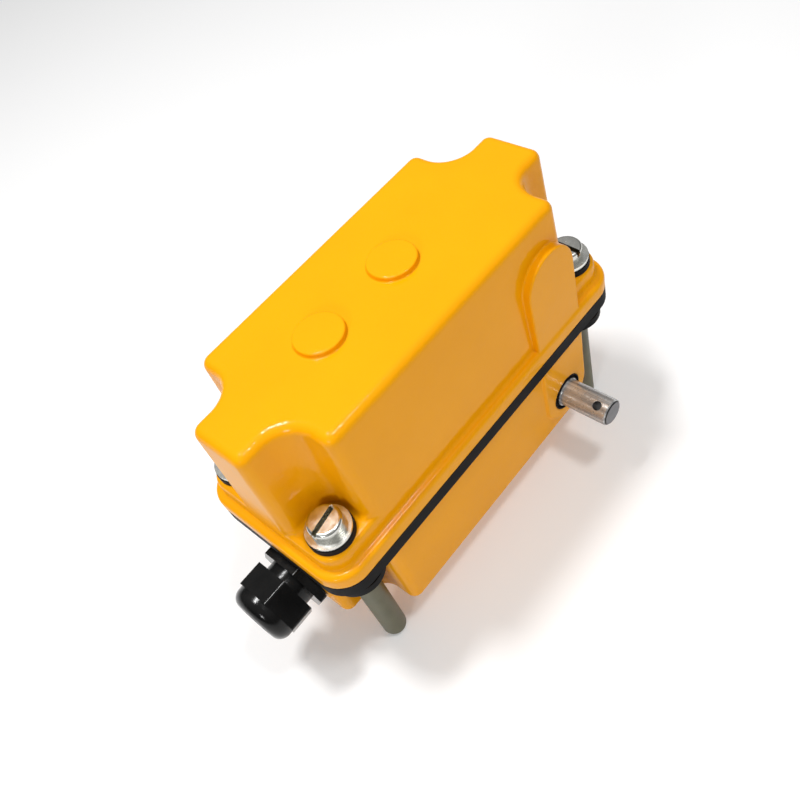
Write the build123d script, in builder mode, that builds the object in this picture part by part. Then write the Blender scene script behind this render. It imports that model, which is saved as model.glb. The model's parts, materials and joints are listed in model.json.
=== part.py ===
from build123d import *
import math
import os

# Crane height limit switch, millimetres.
# Origin: middle of the underside of the lower casing. Z is up, X runs along the casing
# from the cable gland (-X) to the drive shaft end (+X), and the shaft leaves towards -Y.

os.makedirs("parts", exist_ok=True)

# Casing outline, shared by the cover, the gasket and the lower casing
flange_length = 171.3
flange_width = 76.9
flange_corner = 12.7
screw_inset_x = 14.25
screw_inset_y = 13.25
draft = 1.8
wall = 4.0
corner_round = 6.6
cavity_corner = 3.2

# Heights of the two castings and the seal between them
casing_height = 50.9
gasket_web = 2.0
gasket_lip = 2.0
gasket_lip_depth = 4.2
flange_height = 7.1
pad_rise = 8.3
cover_rise = 61.5
roof = 4.5
floor = 4.0

# Cover details
ledge = 3.5
cover_scallop = 10.3
top_round = 4.5
flange_round = 2.2
groove_round = 1.2
pad_round = 1.5
boss_radius = 9.6
boss_rise = 2.1
boss_round = 0.45
boss_positions = (-29.2, 8.9)

# Lower casing details
casing_scallop = 8.4
lug_depth = 8.9
base_round = 2.0
foot_pad_radius = 5.5
foot_pad_rise = 2.0

# Arched swelling of both castings over the shaft
arch_radius = 13.6
arch_rise = 34.1
arch_proud = 0.95
arch_round = 1.6

# Screws that close the casing
screw_diameter = 8.0
screw_length = 90.0
screw_clearance = 0.5
head_diameter = 13.0
head_height = 5.0
slot_width = 2.0
slot_depth = 2.4
slot_angles = (9.0, 54.0, 87.6, 120.0)
washer_radius = 8.7
washer_thickness = 1.6
rubber_thickness = 2.7
ring_radius = 11.3
ring_thickness = 3.5
cap_wall = 1.25
cap_round = 3.0

# Drive shaft, its seal and its bushes
shaft_x = 46.6
shaft_height = 18.2
shaft_radius = 6.0
shaft_reach = 59.2
journal_radius = 6.5
shaft_step_radius = 5.0
shaft_chamfer = 1.0
coupling_hole_radius = 2.0
coupling_hole_inset = 5.5
coupling_hole_tilt = 30.0
seal_radius = 8.4
seal_width = 5.0
seal_proud = 0.2
seal_rim = 0.6
seal_inner_lip = 0.5
bush_wall = 1.5
bush_length = 12.0
rear_bush_inset = 18.15
rear_bush_length = 10.0
housing_wall = 3.0

# Worm drive
module = 1.0
worm_pitch_radius = 8.0
worm_turns = 7
worm_hub_radius = 7.5
thread_sink = 0.4
wheel_teeth = 46
wheel_face = 6.0
wheel_hub_radius = 9.0
wheel_web = 2.5
wheel_rim = 2.5
wheel_hole_radius = 2.6
worm_backlash = 0.5
addendum = 0.9
dedendum = 1.2
pressure_angle = 20.0

# Cam shaft and cams
camshaft_radius = 4.0
camshaft_shoulder = 6.5
camshaft_overhang = 2.0
cam_hub_radius = 8.0
spacer_radius = 7.5
bush_flange = 1.5
cam_bush_radius = 6.0
cam_bush_flange_radius = 7.5
shoulder_width = 1.95
rim_face = 3.5
disc_face = 4.5
cam_hub = 2.0
spacer_thickness = 1.0
cam_count = 4
cam_teeth = 36
cam_base_radius = 15.2
lobe_rise = 2.6
lobe_span = 40.0
lobe_angles = (165.0, 15.0, 200.0, -20.0)
lock_nut_width = 4.0
lock_nut_flats = 13.0
lock_nut_gap = 0.75

# Adjusting pinions
pinion_teeth = 10
pinion_shaft_radius = 2.5
pinion_spread = 22.0
pinion_head_radius = 4.2
pinion_head = 3.5
pinion_slot = 1.2
pinion_collar_radius = 3.6
pinion_collar = 1.2
gear_backlash = 0.7
gear_addendum = 0.8

# Steel frame
plate_thickness = 2.0
plate_width = 34.0
plate_to_worm = 10.6
foot_length = 14.0
frame_rise = 86.0
frame_screw_radius = 2.0
frame_head_radius = 3.8
frame_head = 2.6
frame_slot = 1.0
frame_screw_tip = 2.0
frame_hole_end = 1.5
foot_screw_inset = 5.0
frame_screw_spacing = 22.0
earth_point = (-45.0, 18.0)

# Snap switches
switch_length = 27.8
switch_thickness = 10.3
switch_height = 15.9
switch_hole_spacing = 22.2
switch_hole_inset = 2.8
clamp_screw_radius = 1.5
clamp_head_radius = 2.8
clamp_head = 2.4
clamp_slot = 0.75
switch_corner = 1.0
lever_angle = 15.0
lever_reach = 11.0
lever_thickness = 0.5
lever_width = 3.9
hinge_offset = -11.0
hinge_drop = 1.6
hinge_pin_radius = 0.6
ear_radius = 1.4
ear_thickness = 1.2
lever_eye_radius = 1.1
roller_radius = 2.4
roller_width = 2.3
roller_drop = 1.6
plunger_radius = 1.2
plunger_offset = 4.0
plunger_length = 6.0
plunger_travel = 1.05
terminal_width = 4.8
terminal_thickness = 0.8
terminal_rise = 6.3
insulator_inset = 0.5

# Cable gland
gland_height = 27.4
gland_pad_radius = 16.0
gland_thread_radius = 11.0
gland_bore = 7.25
gland_body_flats = 29.0
gland_nut_flats = 27.0
gland_corner = 1.2
gland_flange = 3.4
gland_gap = 3.8
gland_nut_hex = 10.6
gland_nut_turn = 3.6
gland_dome = 6.5
gland_mouth = 7.4
cable_radius = 5.5
gland_dome_radius = 13.2
gland_lip = 1.6
nut_thread_radius = 10.4
nut_thread_short = 1.0
gland_seal_radius = 9.6
o_ring_radius = 13.8
o_ring_thickness = 1.0
thread_inside = 3.0

# Clearances
running = 0.06
near = 0.3

# Depth by which one block of a casting sinks into the next before they join
overlap = 1.0

# Levels and lengths that follow from the sizes above
screw_spacing_x = flange_length - 2 * screw_inset_x
screw_spacing_y = flange_width - 2 * screw_inset_y
tangent = math.tan(math.radians(draft))
cover_base = casing_height + gasket_web
ledge_level = cover_base + flange_height
pad_level = ledge_level + pad_rise
top_level = cover_base + cover_rise
lip_level = casing_height - gasket_lip_depth
lug_level = casing_height - lug_depth
pad_length = flange_length - 2 * ledge
pad_width = flange_width - 2 * ledge
rim_length = flange_length - 2 * gasket_lip
rim_width = flange_width - 2 * gasket_lip
screw_points = [
    (x * screw_spacing_x / 2, y * screw_spacing_y / 2)
    for x, y in ((-1, -1), (-1, 1), (1, -1), (1, 1))
]
screw_radius = screw_diameter / 2
hole_radius = screw_radius + screw_clearance
head_seat = pad_level + rubber_thickness + washer_thickness
ring_base = lug_level - ring_thickness

arch_face = flange_width / 2 - arch_proud
arch_at_shaft = arch_face - (lip_level - shaft_height) * tangent
seal_face = arch_at_shaft + seal_proud
shoulder_level = seal_face + near
bush_front = seal_face - seal_width
bush_back = bush_front - bush_length
bush_radius = journal_radius + bush_wall
housing_radius = bush_radius + housing_wall
rear_bush_radius = shaft_step_radius + bush_wall
step_level = bush_back - near

worm_pitch = math.pi * module
worm_tip = worm_pitch_radius + addendum
worm_root = worm_pitch_radius - dedendum
worm_length = worm_turns * worm_pitch
rear_bush_front = flange_width / 2 - rear_bush_inset
rear_bush_end = rear_bush_front + rear_bush_length
wheel_radius = wheel_teeth * module / 2
cam_height = shaft_height + worm_pitch_radius + wheel_radius

plate_front = shaft_x - plate_to_worm
plate_face = plate_front - plate_thickness
cam_width = rim_face + disc_face + cam_hub
cam_pitch = cam_width + spacer_thickness
first_cam = plate_face - near - shoulder_width - cam_hub - disc_face / 2
cam_positions = [first_cam - i * cam_pitch for i in range(cam_count)]
stack_end = cam_positions[-1] - disc_face / 2 - rim_face
rear_face = stack_end - spacer_thickness - lock_nut_width - lock_nut_gap
rear_back = rear_face - plate_thickness
wheel_back = shaft_x - wheel_face / 2
hub_start = plate_front + bush_flange + near

cam_radius = cam_teeth * module / 2
pinion_radius = pinion_teeth * module / 2
pinion_distance = cam_radius + pinion_radius
pinion_angles = [-90 + (i - (cam_count - 1) / 2) * pinion_spread for i in range(cam_count)]

foot_level = floor + foot_pad_rise
plate_top = foot_level + frame_rise

# The roller rests just above the cam's base circle, which sets the switch's height
lean = math.radians(lever_angle)
roller_y = lever_reach * math.cos(lean) - roller_drop * math.sin(lean)
roller_z = -lever_reach * math.sin(lean) - roller_drop * math.cos(lean)
roller_orbit = cam_base_radius + roller_radius + near
hinge_height = cam_height + math.sqrt(roller_orbit**2 - (hinge_offset + roller_y) ** 2) - roller_z
switch_base = hinge_height + hinge_drop
clamp_points = [
    (-switch_hole_spacing / 2, switch_base + switch_height - switch_hole_inset),
    (switch_hole_spacing / 2, switch_base + switch_hole_inset),
]


def scalloped_outline(plane, length, width, scallop, edge):
    """Casting outline: a rounded block with a round scallop about each screw."""
    with BuildSketch(plane) as outline:
        Rectangle(length, screw_spacing_y - 2 * scallop)
        Rectangle(screw_spacing_x - 2 * scallop, width)
        fillet(outline.vertices().sort_by_distance((0, 0, 0))[4:], edge)
        fillet(outline.vertices().sort_by_distance((0, 0, 0))[:4], scallop)
    return outline.sketch


def tapered_casting(base, rise, length, width, scallop, edge):
    """Scalloped block that narrows by the draft as it rises from its base plane."""
    shrink = rise * tangent
    with BuildPart() as block:
        low = scalloped_outline(base, length, width, scallop, edge)
        high = scalloped_outline(
            base.offset(rise),
            length - 2 * shrink,
            width - 2 * shrink,
            scallop + shrink,
            edge - shrink,
        )
        loft([low.face(), high.face()], ruled=True)
    return block.part


def arch_outline(plane, round_end, straight_end):
    """Arch about the shaft's vertical line, round at one end and straight at the other."""
    with BuildSketch(plane) as outline:
        with Locations((shaft_x, (round_end + straight_end) / 2)):
            Rectangle(2 * arch_radius, abs(straight_end - round_end))
        with Locations((shaft_x, round_end)):
            Circle(arch_radius)
    return outline.sketch


def toothed_outline(plane, centre, teeth, radius, rise, drop, backlash, turn):
    """Gear outline with one tooth centred at the angle turn."""
    half = (math.pi * module - backlash) / 4
    slope = math.tan(math.radians(pressure_angle))
    tip, root = radius + rise, radius - drop
    tip_half = half * tip / radius - rise * slope
    root_half = half * root / radius + drop * slope
    inner = root * math.cos(math.asin(root_half / root)) - module / 10
    with BuildSketch(plane) as outline:
        with Locations(centre):
            Circle(root)
            with PolarLocations(0, teeth, turn):
                Polygon(
                    (inner, -root_half),
                    (tip, -tip_half),
                    (tip, tip_half),
                    (inner, root_half),
                    align=None,
                )
    return outline.sketch


def shaft_plane(y):
    """Plane across the drive shaft, facing -Y, with its middle on the shaft."""
    return Plane(origin=(shaft_x, y, shaft_height), x_dir=(1, 0, 0), z_dir=(0, -1, 0))


def gland_plane(x):
    """Plane across the gland, facing -X, with a local X axis along Y."""
    return Plane(origin=(x, 0, gland_height), x_dir=(0, 1, 0), z_dir=(-1, 0, 0))


# Upper cover: flange, pad level round the screws, scalloped body, bosses and arch
with BuildPart() as cover_arch:
    extrude(
        arch_outline(Plane.XZ.offset(arch_face), cover_base + arch_rise, ledge_level - overlap),
        amount=-2 * ledge,
    )
    fillet(cover_arch.faces().sort_by(Axis.Y)[0].edges(), arch_round)

with BuildPart() as upper_cover:
    with BuildSketch(Plane.XY.offset(cover_base)):
        RectangleRounded(flange_length, flange_width, flange_corner)
    extrude(amount=flange_height)
    with BuildSketch(Plane.XY.offset(ledge_level)):
        RectangleRounded(pad_length, pad_width, flange_corner - ledge)
    extrude(amount=pad_rise, taper=draft)
    fillet(upper_cover.faces().sort_by(Axis.Z)[-1].edges(), pad_round)
    add(
        tapered_casting(
            Plane.XY.offset(ledge_level),
            top_level - ledge_level,
            pad_length,
            pad_width,
            cover_scallop,
            corner_round,
        )
    )
    fillet(upper_cover.faces().sort_by(Axis.Z)[-1].edges(), top_round)
    ledge_face = upper_cover.faces().filter_by_position(Axis.Z, ledge_level - 0.01, ledge_level + 0.01)[0]
    fillet(ledge_face.inner_wires()[0].edges(), groove_round)
    ledge_face = upper_cover.faces().filter_by_position(Axis.Z, ledge_level - 0.01, ledge_level + 0.01)[0]
    fillet(ledge_face.outer_wire().edges(), flange_round)
    with BuildSketch(Plane.XY.offset(top_level - overlap)):
        with Locations(*[(x, 0) for x in boss_positions]):
            Circle(boss_radius)
    extrude(amount=overlap + boss_rise)
    fillet(upper_cover.faces().sort_by(Axis.Z)[-2:].edges(), boss_round)
    add(cover_arch.part)
    cover_shift = flange_height * tangent
    add(
        tapered_casting(
            Plane.XY.offset(cover_base),
            cover_rise - roof,
            pad_length + 2 * cover_shift - 2 * wall,
            pad_width + 2 * cover_shift - 2 * wall,
            cover_scallop - cover_shift + wall,
            cavity_corner,
        ),
        mode=Mode.SUBTRACT,
    )
    with BuildSketch(Plane.XY.offset(cover_base)):
        with Locations(*screw_points):
            Circle(hole_radius)
    extrude(amount=pad_level - cover_base, mode=Mode.SUBTRACT)
upper_cover.part.label = "upper_cover"
export_step(upper_cover.part, "parts/upper_cover.step")

# Lower casing: scalloped body, corner lugs, shaft boss, bush housings and gland pad
casing_plane = Plane(origin=(0, 0, casing_height), x_dir=(1, 0, 0), z_dir=(0, 0, -1))
wall_y = rim_width / 2 - (casing_height - shaft_height) * tangent
end_wall_x = rim_length / 2 - (casing_height - gland_height) * tangent
gland_seat = end_wall_x + (gland_height + gland_body_flats / 2) * tangent / 2 + near

casing_block = tapered_casting(
    casing_plane, casing_height, rim_length, rim_width, casing_scallop, corner_round
)

# The arch leans with the casing's draft
arch_plane = Plane(
    origin=(0, -arch_face, lip_level), x_dir=(1, 0, 0), z_dir=(0, -1, -tangent)
)
with BuildPart() as casing_arch:
    extrude(
        arch_outline(arch_plane, shaft_height - lip_level, -near),
        amount=-(arch_face - wall_y + wall / 2),
    )
    fillet(casing_arch.faces().sort_by(Axis.Y)[0].edges(), arch_round / 2)

with BuildPart() as lower_casing:
    add(casing_block)
    fillet(lower_casing.faces().sort_by(Axis.Z)[0].edges(), base_round)
    with BuildSketch(casing_plane):
        RectangleRounded(rim_length, rim_width, flange_corner - gasket_lip)
    extrude(amount=lug_depth, taper=draft)
    add(casing_arch.part)
    with BuildSketch(gland_plane(-gland_seat)):
        Circle(gland_pad_radius)
    extrude(amount=-(gland_seat - end_wall_x) - wall / 2)
    add(
        tapered_casting(
            casing_plane,
            casing_height - floor,
            rim_length - 2 * wall,
            rim_width - 2 * wall,
            casing_scallop + wall,
            cavity_corner,
        ),
        mode=Mode.SUBTRACT,
    )
    with BuildSketch(shaft_plane(-wall_y + wall / 2)):
        Circle(housing_radius)
    extrude(amount=-(wall_y - wall / 2 - bush_back))
    with BuildSketch(shaft_plane(rear_bush_front)):
        Circle(rear_bush_radius + housing_wall)
    extrude(amount=-(wall_y - wall / 2 - rear_bush_front))
    with BuildSketch(shaft_plane(-seal_face)):
        Circle(seal_radius)
    extrude(amount=-seal_width, mode=Mode.SUBTRACT)
    with BuildSketch(shaft_plane(-bush_front)):
        Circle(bush_radius)
    extrude(amount=-bush_length, mode=Mode.SUBTRACT)
    with BuildSketch(shaft_plane(rear_bush_front)):
        Circle(rear_bush_radius)
    extrude(amount=-rear_bush_length, mode=Mode.SUBTRACT)
    with BuildSketch(gland_plane(-gland_seat)):
        Circle(gland_thread_radius + running)
    extrude(amount=-2.5 * wall, mode=Mode.SUBTRACT)
    with BuildSketch(casing_plane):
        with Locations(*screw_points):
            Circle(hole_radius)
    extrude(amount=lug_depth, mode=Mode.SUBTRACT)
    screw_step = foot_length - foot_screw_inset
    foot_middles = (plate_front - screw_step, rear_back + screw_step)
    foot_points = [(x, y * frame_screw_spacing / 2) for x in foot_middles for y in (-1, 1)]
    with BuildSketch(Plane.XY.offset(floor / 2)):
        with Locations(*foot_points, earth_point):
            Circle(foot_pad_radius)
    extrude(amount=foot_level - floor / 2)
    with BuildSketch(Plane.XY.offset(foot_level)):
        with Locations(*foot_points, earth_point):
            Circle(frame_screw_radius)
    extrude(amount=-(foot_level - frame_hole_end), mode=Mode.SUBTRACT)
lower_casing.part.label = "lower_casing"
export_step(lower_casing.part, "parts/lower_casing.step")

# Flange gasket: a web on the rim and a lip that hangs down outside it
with BuildPart() as flange_gasket:
    with BuildSketch(Plane.XY.offset(lip_level)):
        RectangleRounded(flange_length, flange_width, flange_corner)
    extrude(amount=gasket_lip_depth + gasket_web)
    with BuildSketch(Plane.XY.offset(lip_level)):
        RectangleRounded(rim_length, rim_width, flange_corner - gasket_lip)
    extrude(amount=gasket_lip_depth, mode=Mode.SUBTRACT)
    extrude(
        scalloped_outline(
            casing_plane,
            rim_length - 2 * wall,
            rim_width - 2 * wall,
            casing_scallop + wall,
            cavity_corner,
        ),
        amount=-gasket_web,
        mode=Mode.SUBTRACT,
    )
    with BuildSketch(Plane.XY.offset(casing_height)):
        with Locations(*screw_points):
            Circle(hole_radius)
    extrude(amount=gasket_web, mode=Mode.SUBTRACT)
flange_gasket.part.label = "flange_gasket"
export_step(flange_gasket.part, "parts/flange_gasket.step")

# Cover bolts: long slotted cheese heads, with tails that also fix the switch
with BuildPart() as cover_bolts:
    for point, angle in zip(screw_points, slot_angles):
        with BuildSketch(Plane.XY.offset(head_seat)):
            with Locations(point):
                Circle(head_diameter / 2)
        head = extrude(amount=head_height)
        fillet(head.faces().sort_by(Axis.Z)[-1].edges(), head_height / 4)
        with BuildSketch(Plane.XY.offset(head_seat)):
            with Locations(point):
                Circle(screw_radius)
        extrude(amount=-screw_length)
        with BuildSketch(Plane.XY.offset(head_seat + head_height)):
            with Locations(Location((*point, 0), (0, 0, angle))):
                Rectangle(2 * head_diameter, slot_width)
        extrude(amount=-slot_depth, mode=Mode.SUBTRACT)
cover_bolts.part.label = "cover_bolts"
export_step(cover_bolts.part, "parts/cover_bolts.step")

with BuildPart() as bolt_washers:
    with BuildSketch(Plane.XY.offset(head_seat - washer_thickness)):
        with Locations(*screw_points):
            Circle(washer_radius)
            Circle(screw_radius + near, mode=Mode.SUBTRACT)
    extrude(amount=washer_thickness)
bolt_washers.part.label = "bolt_washers"
export_step(bolt_washers.part, "parts/bolt_washers.step")

with BuildPart() as bolt_rubber_washers:
    with BuildSketch(Plane.XY.offset(pad_level)):
        with Locations(*screw_points):
            Circle(washer_radius + near)
            Circle(screw_radius + near, mode=Mode.SUBTRACT)
    extrude(amount=rubber_thickness)
bolt_rubber_washers.part.label = "bolt_rubber_washers"
export_step(bolt_rubber_washers.part, "parts/bolt_rubber_washers.step")

# Rubber rings under the lugs, cut away where the casing's scallop passes
with BuildPart() as lug_rubber_rings:
    with BuildSketch(Plane.XY.offset(ring_base)):
        with Locations(*screw_points):
            Circle(ring_radius)
            Circle(screw_radius + near, mode=Mode.SUBTRACT)
    extrude(amount=ring_thickness)
    add(casing_block, mode=Mode.SUBTRACT)
lug_rubber_rings.part.label = "lug_rubber_rings"
export_step(lug_rubber_rings.part, "parts/lug_rubber_rings.step")

# Soft caps over the bolt tails
cap_base = head_seat - screw_length - cap_wall
with BuildPart() as thread_caps:
    with BuildSketch(Plane.XY.offset(cap_base)):
        with Locations(*screw_points):
            Circle(screw_radius + cap_wall)
    extrude(amount=ring_base - cap_base)
    fillet(thread_caps.faces().sort_by(Axis.Z)[:4].edges(), cap_round)
    with BuildSketch(Plane.XY.offset(cap_base + cap_wall)):
        with Locations(*screw_points):
            Circle(screw_radius)
    extrude(amount=ring_base - cap_base - cap_wall, mode=Mode.SUBTRACT)
thread_caps.part.label = "thread_caps"
export_step(thread_caps.part, "parts/thread_caps.step")

# Drive shaft with its cross hole for the coupling pin
shaft_end = rear_bush_end - near
pin_level = (worm_length / 2 + rear_bush_front) / 2
with BuildPart() as input_shaft:
    with BuildSketch(shaft_plane(-shaft_reach)):
        Circle(shaft_radius)
    extrude(amount=-(shaft_reach - shoulder_level))
    chamfer(input_shaft.faces().sort_by(Axis.Y)[0].edges(), shaft_chamfer)
    with BuildSketch(shaft_plane(-shoulder_level)):
        Circle(journal_radius)
    extrude(amount=-(shoulder_level - step_level))
    with BuildSketch(shaft_plane(-step_level)):
        Circle(shaft_step_radius)
    extrude(amount=-(step_level + shaft_end))
    tilt = math.radians(coupling_hole_tilt)
    hole_plane = Plane(
        origin=(shaft_x, coupling_hole_inset - shaft_reach, shaft_height),
        x_dir=(0, 1, 0),
        z_dir=(-math.sin(tilt), 0, math.cos(tilt)),
    )
    with BuildSketch(hole_plane):
        Circle(coupling_hole_radius)
    extrude(amount=2 * shaft_radius, both=True, mode=Mode.SUBTRACT)
    with BuildSketch(Plane(origin=(shaft_x, pin_level, shaft_height), z_dir=(1, 0, 0))):
        Circle(clamp_screw_radius)
    extrude(amount=worm_hub_radius, both=True, mode=Mode.SUBTRACT)
input_shaft.part.label = "input_shaft"
export_step(input_shaft.part, "parts/input_shaft.step")

with BuildPart() as shaft_seal:
    with BuildSketch(shaft_plane(-seal_face)):
        Circle(seal_radius)
        Circle(journal_radius + running, mode=Mode.SUBTRACT)
    extrude(amount=-seal_width)
    with BuildSketch(shaft_plane(-seal_face)):
        Circle(seal_radius - seal_rim)
        Circle(journal_radius + seal_inner_lip, mode=Mode.SUBTRACT)
    extrude(amount=-seal_width / 4, mode=Mode.SUBTRACT)
shaft_seal.part.label = "shaft_seal"
export_step(shaft_seal.part, "parts/shaft_seal.step")

with BuildPart() as front_bush:
    with BuildSketch(shaft_plane(-bush_front)):
        Circle(bush_radius)
        Circle(journal_radius + running, mode=Mode.SUBTRACT)
    extrude(amount=-bush_length)
front_bush.part.label = "front_bush"
export_step(front_bush.part, "parts/front_bush.step")

with BuildPart() as rear_bush:
    with BuildSketch(shaft_plane(rear_bush_front)):
        Circle(rear_bush_radius)
        Circle(shaft_step_radius + running, mode=Mode.SUBTRACT)
    extrude(amount=-rear_bush_length)
rear_bush.part.label = "rear_bush"
export_step(rear_bush.part, "parts/rear_bush.step")

# Single start worm, right handed: made upright at the origin, then laid on the shaft
worm_frame = Plane(origin=(shaft_x, 0, shaft_height), x_dir=(0, 0, 1), z_dir=(0, 1, 0))
core_half = (worm_length + worm_pitch) / 2
thread_root = worm_root - thread_sink
thread_half = (math.pi * module - worm_backlash) / 4
slope = math.tan(math.radians(pressure_angle))
root_half = thread_half + (worm_pitch_radius - thread_root) * slope
tip_half = thread_half - addendum * slope
lead_angle = math.atan(worm_pitch / (2 * math.pi * worm_pitch_radius))
# The thread starts on a half pitch, so a gap faces the wheel's lowest tooth
thread_start = -(math.ceil(core_half / worm_pitch) + 0.5) * worm_pitch
with BuildPart() as worm_thread:
    with BuildLine() as thread_path:
        Helix(worm_pitch, -2 * thread_start, thread_root, center=(0, 0, thread_start))
    thread_plane = Plane(
        origin=(thread_root, 0, thread_start),
        x_dir=(1, 0, 0),
        z_dir=(0, math.cos(lead_angle), math.sin(lead_angle)),
    )
    with BuildSketch(thread_plane) as thread_section:
        Polygon(
            (0, -root_half),
            (worm_tip - thread_root, -tip_half),
            (worm_tip - thread_root, tip_half),
            (0, root_half),
            align=None,
        )
    sweep(thread_section.sketch, path=thread_path.line, is_frenet=True)
    with BuildSketch(Plane.XY.offset(-core_half)):
        Circle(worm_tip + overlap)
    extrude(amount=2 * core_half, mode=Mode.INTERSECT)
with BuildPart() as worm_blank:
    with BuildSketch(Plane(origin=(0, 0, -core_half), x_dir=(0, 1, 0), z_dir=(0, 0, 1))):
        Circle(worm_root)
    extrude(amount=2 * core_half)
    add(worm_thread.part)
    with BuildSketch(Plane.XY.offset(-step_level)):
        Circle(worm_hub_radius)
    extrude(amount=step_level - core_half)
    with BuildSketch(Plane.XY.offset(core_half)):
        Circle(worm_hub_radius)
    extrude(amount=rear_bush_front - near - core_half)
    with BuildSketch(Plane.XY.offset(-step_level)):
        Circle(shaft_step_radius)
    extrude(amount=step_level + rear_bush_front, mode=Mode.SUBTRACT)
    with BuildSketch(Plane.XZ):
        with Locations((0, pin_level)):
            Circle(clamp_screw_radius)
    extrude(amount=worm_hub_radius, both=True, mode=Mode.SUBTRACT)
with BuildPart() as worm:
    add(worm_frame.location * worm_blank.solids().sort_by(SortBy.VOLUME)[-1])
worm.part.label = "worm"
export_step(worm.part, "parts/worm.step")

with BuildPart() as worm_pin:
    with BuildSketch(Plane(origin=(shaft_x, pin_level, shaft_height), z_dir=(1, 0, 0))):
        Circle(clamp_screw_radius)
    extrude(amount=worm_hub_radius - near, both=True)
worm_pin.part.label = "worm_pin"
export_step(worm_pin.part, "parts/worm_pin.step")

# Worm wheel, with a thin web between its rim and hub, pinned to the cam shaft
cam_axis = (0, cam_height)
wheel_pin_x = (hub_start + wheel_back) / 2
with BuildPart() as worm_wheel:
    extrude(
        toothed_outline(
            Plane.YZ.offset(wheel_back),
            cam_axis,
            wheel_teeth,
            wheel_radius,
            addendum,
            dedendum,
            worm_backlash,
            -90,
        ),
        amount=wheel_face,
    )
    for side in (wheel_back, shaft_x + wheel_web / 2):
        with BuildSketch(Plane.YZ.offset(side)):
            with Locations(cam_axis):
                Circle(wheel_radius - dedendum - wheel_rim)
        extrude(amount=(wheel_face - wheel_web) / 2, mode=Mode.SUBTRACT)
    with BuildSketch(Plane.YZ.offset(hub_start)):
        with Locations(cam_axis):
            Circle(wheel_hub_radius)
    extrude(amount=wheel_back + wheel_face - hub_start)
    with BuildSketch(Plane.YZ.offset(hub_start)):
        with Locations(cam_axis):
            Circle(camshaft_radius)
            with PolarLocations((wheel_radius - dedendum - wheel_rim + wheel_hub_radius) / 2, 6):
                Circle(wheel_hole_radius)
    extrude(amount=shaft_reach, mode=Mode.SUBTRACT)
    with BuildSketch(Plane.XY.offset(cam_height)):
        with Locations((wheel_pin_x, 0)):
            Circle(clamp_screw_radius)
    extrude(amount=wheel_hub_radius, both=True, mode=Mode.SUBTRACT)
worm_wheel.part.label = "worm_wheel"
export_step(worm_wheel.part, "parts/worm_wheel.step")

with BuildPart() as wheel_pin:
    with BuildSketch(Plane.XY.offset(cam_height)):
        with Locations((wheel_pin_x, 0)):
            Circle(clamp_screw_radius)
    extrude(amount=wheel_hub_radius - near, both=True)
wheel_pin.part.label = "wheel_pin"
export_step(wheel_pin.part, "parts/wheel_pin.step")

# Cam shaft with the shoulder that the cams are clamped against
with BuildPart() as camshaft:
    camshaft_start = rear_back - bush_flange - camshaft_overhang
    with BuildSketch(Plane.YZ.offset(camshaft_start)):
        with Locations(cam_axis):
            Circle(camshaft_radius)
    extrude(amount=wheel_back + wheel_face + camshaft_overhang - camshaft_start)
    chamfer(camshaft.faces().filter_by(Axis.X).edges(), camshaft_radius / 8)
    with BuildSketch(Plane.YZ.offset(plate_face - near - shoulder_width)):
        with Locations(cam_axis):
            Circle(camshaft_shoulder)
    extrude(amount=shoulder_width)
    with BuildSketch(Plane.XY.offset(cam_height)):
        with Locations((wheel_pin_x, 0)):
            Circle(clamp_screw_radius)
    extrude(amount=wheel_hub_radius, both=True, mode=Mode.SUBTRACT)
camshaft.part.label = "camshaft"
export_step(camshaft.part, "parts/camshaft.step")

# Cams: a toothed rim for the adjuster, a disc with the trip lobe and a hub
lobe_radius = cam_base_radius + lobe_rise
lobe_spread = math.tan(math.radians(lobe_span / 2))
for number in range(cam_count):
    disc_back = cam_positions[number] - disc_face / 2
    with BuildPart() as memory_cam:
        extrude(
            toothed_outline(
                Plane.YZ.offset(disc_back - rim_face),
                cam_axis,
                cam_teeth,
                cam_radius,
                gear_addendum,
                dedendum,
                gear_backlash,
                pinion_angles[number],
            ),
            amount=rim_face,
        )
        with BuildSketch(Plane.YZ.offset(disc_back)):
            with Locations(cam_axis):
                Circle(lobe_radius)
            with Locations(Location((0, cam_height, 0), (0, 0, lobe_angles[number]))):
                Polygon(
                    (0, 0),
                    (2 * lobe_radius, -2 * lobe_radius * lobe_spread),
                    (2 * lobe_radius, 2 * lobe_radius * lobe_spread),
                    align=None,
                    mode=Mode.INTERSECT,
                )
            with Locations(cam_axis):
                Circle(cam_base_radius)
        extrude(amount=disc_face)
        with BuildSketch(Plane.YZ.offset(disc_back + disc_face)):
            with Locations(cam_axis):
                Circle(cam_hub_radius)
        extrude(amount=cam_hub)
        with BuildSketch(Plane.YZ.offset(disc_back - rim_face)):
            with Locations(cam_axis):
                Circle(camshaft_radius)
        extrude(amount=cam_width, mode=Mode.SUBTRACT)
    memory_cam.part.label = f"memory_cam_{number + 1}"
    export_step(memory_cam.part, f"parts/memory_cam_{number + 1}.step")

with BuildPart() as cam_spacers:
    for position in cam_positions:
        with BuildSketch(Plane.YZ.offset(position - disc_face / 2 - rim_face - spacer_thickness)):
            with Locations(cam_axis):
                Circle(spacer_radius)
                Circle(camshaft_radius, mode=Mode.SUBTRACT)
        extrude(amount=spacer_thickness)
cam_spacers.part.label = "cam_spacers"
export_step(cam_spacers.part, "parts/cam_spacers.step")

with BuildPart() as cam_lock_nut:
    with BuildSketch(Plane.YZ.offset(stack_end - spacer_thickness - lock_nut_width)):
        with Locations(cam_axis):
            RegularPolygon(lock_nut_flats / 2, 6, major_radius=False)
            Circle(camshaft_radius, mode=Mode.SUBTRACT)
    extrude(amount=lock_nut_width)
cam_lock_nut.part.label = "cam_lock_nut"
export_step(cam_lock_nut.part, "parts/cam_lock_nut.step")

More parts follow.
